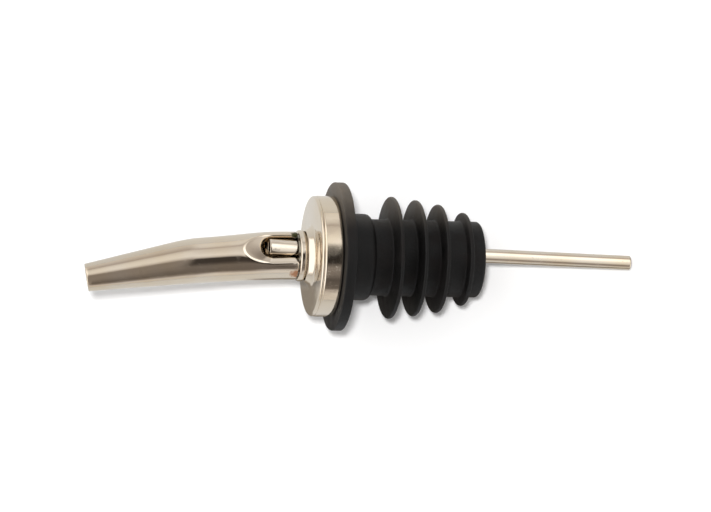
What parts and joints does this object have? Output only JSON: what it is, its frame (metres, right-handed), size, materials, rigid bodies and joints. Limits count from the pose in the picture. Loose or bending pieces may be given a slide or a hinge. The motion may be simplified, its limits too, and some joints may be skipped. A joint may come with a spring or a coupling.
{
  "type": "liquor pour spout",
  "caption": "Bent, tapered metal pour spout with a vent tube and a round cap, on a finned rubber stopper that plugs a bottle's neck.",
  "frame": {"origin": "middle of the stopper flange's underside, where the lip of the bottle meets it", "axes": "+Z along the stopper towards the spout, so that the bottle lies along -Z; the spout bends towards -X, and the vent tube's mouth faces -Y"},
  "size_m": [0.031, 0.031, 0.1165],
  "materials": {
    "rubber": "matt black moulded rubber",
    "plated_metal": "bright, slightly warm plating on drawn and pressed metal",
    "solder": "dull grey solder with brown flux stains"
  },
  "bodies": {
    "plug": {"stopper": "rubber"},
    "pour_head": {"stem_tube": "plated_metal", "cap_shell": "plated_metal", "cap_solder": "solder", "neck_solder": "solder", "spout_tube": "plated_metal", "vent_tube": "plated_metal", "vent_solder": "solder"}
  },
  "joints": [
    {"name": "head_swivel", "type": "hinge", "parent": "plug", "child": "pour_head", "pos_m": [0, 0, 0], "axis": [0, 0, 1], "continuous": true}
  ]
}
